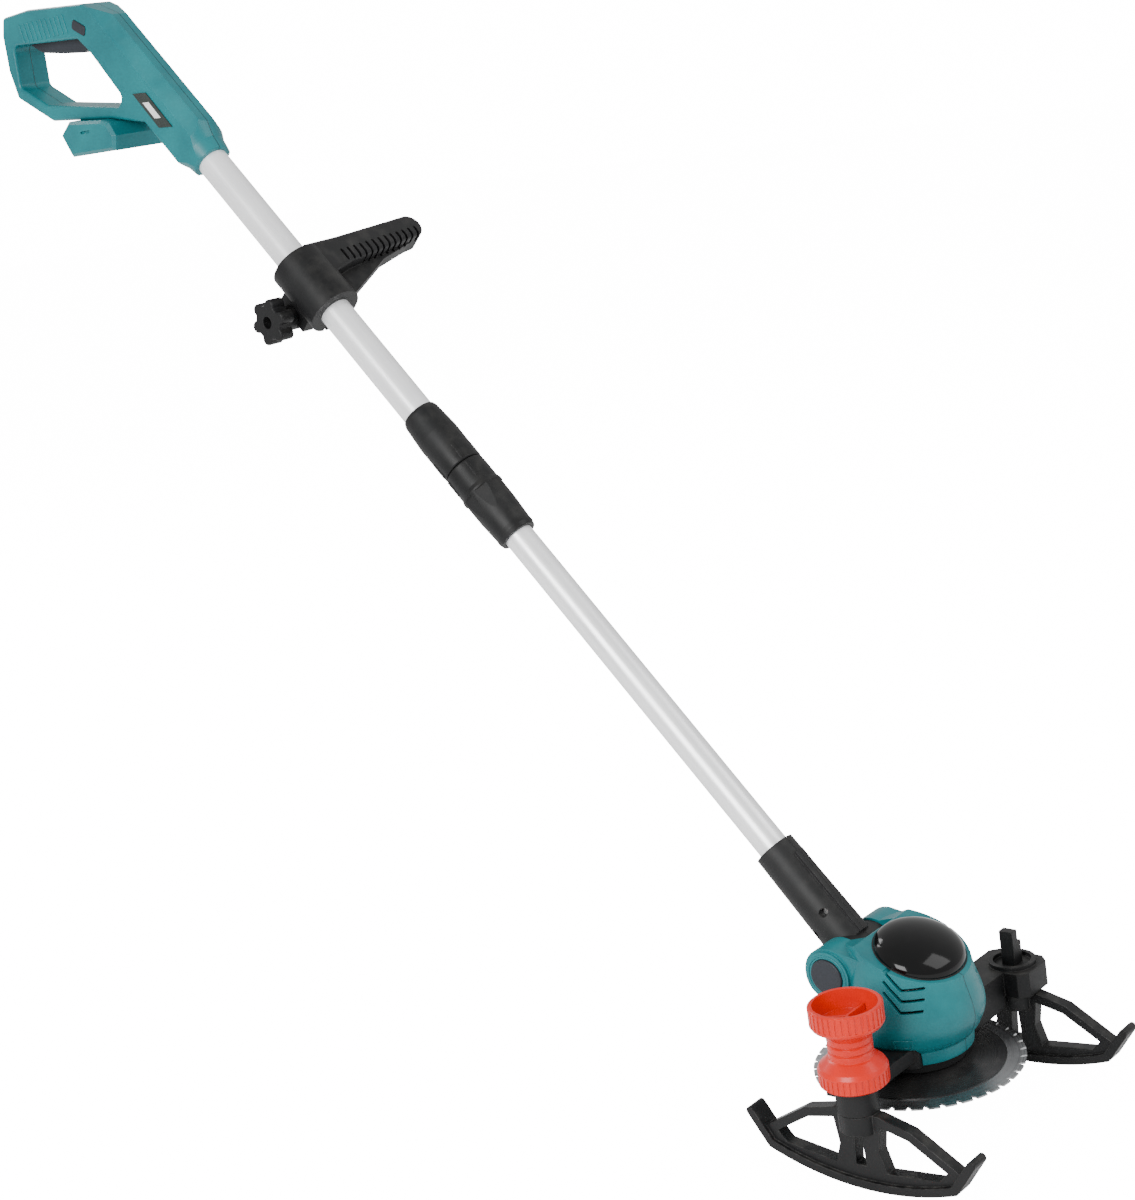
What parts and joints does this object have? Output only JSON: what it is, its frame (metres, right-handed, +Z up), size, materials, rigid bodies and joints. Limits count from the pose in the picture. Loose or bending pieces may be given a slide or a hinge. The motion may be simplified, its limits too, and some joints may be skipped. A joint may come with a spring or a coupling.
{
  "type": "string trimmer",
  "caption": "Battery garden trimmer: telescopic shaft, loop handle with trigger, clamped front handle, tilting motor head with toothed disc blade and two height-set skids.",
  "frame": {"origin": "middle of the rear grip, on the tool's centre plane", "axes": "+X across the tool to the left of a person holding it, -Y forward to the head, +Z up, with the blade level and the shaft climbing 48 degrees back towards the user"},
  "size_m": [0.2852, 1.0023, 0.9384],
  "materials": {
    "teal_plastic": "satin moulded teal plastic",
    "orange_plastic": "moulded orange-red plastic",
    "button_dark": "smooth dark grey plastic",
    "black_plastic": "fine-textured black plastic",
    "black_gloss": "polished black cap",
    "badge_dark": "plain dark plate",
    "tube_aluminium": "drawn and brushed tube",
    "blade_steel": "brushed disc steel",
    "cover_dark": "smooth dark cover",
    "bright_steel": "zinc-plated steel",
    "magnet_dark": "sintered magnet",
    "board_green": "circuit board"
  },
  "bodies": {
    "handle": {"handle_shell_left": "teal_plastic", "handle_shell_right": "teal_plastic", "handle_screws": "bright_steel", "badge_plate": "badge_dark", "trigger_pin": "bright_steel", "trigger_spring": "bright_steel", "power_switch": "black_plastic", "controller_board": "board_green", "battery_foot": "teal_plastic", "terminal_block": "black_plastic", "upper_tube": "tube_aluminium", "collar_base": "black_plastic"},
    "trigger": {"trigger": "button_dark"},
    "lock_off": {"lock_off_button": "button_dark"},
    "aux_clamp": {"clamp_bush": "black_plastic"},
    "aux_arm": {"aux_handle": "black_plastic", "clamp_bolt": "bright_steel"},
    "aux_knob": {"star_knob": "black_plastic"},
    "collar": {"twist_collar": "black_plastic"},
    "lower_shaft": {"lower_tube": "tube_aluminium", "tube_plug": "black_plastic", "neck_half_left": "black_plastic", "neck_half_right": "black_plastic", "neck_screws": "bright_steel"},
    "head": {"head_shell_left": "teal_plastic", "head_shell_right": "teal_plastic", "head_screws": "bright_steel", "cap_dome": "black_gloss", "pivot_pin": "bright_steel", "button_spring": "bright_steel", "pivot_cap": "button_dark", "motor_can": "bright_steel", "motor_endcap": "bright_steel", "motor_magnets": "magnet_dark", "motor_flange": "black_plastic", "spindle_bearing": "bright_steel", "skid_bracket": "black_plastic", "bracket_screws": "bright_steel"},
    "pivot_button": {"pivot_button": "button_dark"},
    "rotor": {"armature": "bright_steel", "spindle": "bright_steel", "blade": "blade_steel", "blade_cover": "cover_dark", "blade_flange": "bright_steel", "blade_nut": "bright_steel"},
    "height_knob": {"height_knob": "orange_plastic"},
    "near_skid": {"skid_near": "black_plastic", "stem_near": "black_plastic"},
    "far_skid": {"skid_far": "black_plastic", "stem_far": "black_plastic"}
  },
  "joints": [
    {"name": "trigger_pull", "type": "hinge", "parent": "handle", "child": "trigger", "pos_m": [0, 0.035, -0.0035], "axis": [-1, 0, 0], "range_deg": [0, 5], "stiffness_Nm_per_rad": 4, "springref_deg": -5.16},
    {"name": "lock_off_press", "type": "slide", "parent": "handle", "child": "lock_off", "axis": [1, 0, 0], "range_m": [0, 0.003], "stiffness_N_per_m": 400, "springref_m": -0.001},
    {"name": "aux_slide", "type": "slide", "parent": "handle", "child": "aux_clamp", "axis": [0, -0.6691, -0.7431], "range_m": [-0.1, 0.11]},
    {"name": "aux_turn", "type": "hinge", "parent": "aux_clamp", "child": "aux_arm", "pos_m": [0, -0.28924, -0.25697], "axis": [0, -0.6691, -0.7431], "range_deg": [-40, 40]},
    {"name": "aux_knob_turn", "type": "hinge", "parent": "aux_arm", "child": "aux_knob", "pos_m": [0, -0.26471, -0.27905], "axis": [1, 0, 0], "range_deg": [0, 1080]},
    {"name": "collar_twist", "type": "hinge", "parent": "handle", "child": "collar", "pos_m": [0, -0.4321, -0.41563], "axis": [0, -0.6691, -0.7431], "range_deg": [0, 90]},
    {"name": "shaft_telescope", "type": "slide", "parent": "handle", "child": "lower_shaft", "axis": [0, 0.6691, 0.7431], "range_m": [0, 0.2]},
    {"name": "head_tilt", "type": "hinge", "parent": "lower_shaft", "child": "head", "pos_m": [0, -0.77402, -0.79538], "axis": [1, 0, 0], "range_deg": [-15, 45]},
    {"name": "pivot_button_press", "type": "slide", "parent": "head", "child": "pivot_button", "axis": [1, 0, 0], "range_m": [0, 0.003], "stiffness_N_per_m": 500, "springref_m": -0.001},
    {"name": "blade_spin", "type": "hinge", "parent": "head", "child": "rotor", "pos_m": [0, -0.81602, -0.87538], "axis": [0, 0, 1], "continuous": true},
    {"name": "knob_turn", "type": "hinge", "parent": "head", "child": "height_knob", "pos_m": [-0.11, -0.83702, -0.83637], "axis": [0, 0, 1], "range_deg": [0, 1800]},
    {"name": "near_skid_height", "type": "slide", "parent": "head", "child": "near_skid", "axis": [0, 0, 1], "range_m": [-0.02, 0]},
    {"name": "far_skid_height", "type": "slide", "parent": "head", "child": "far_skid", "axis": [0, 0, 1], "range_m": [-0.02, 0]}
  ],
  "couplings": [
    {"joint": "near_skid_height", "follows": "knob_turn", "m_per_rad": -0.00063662}
  ]
}
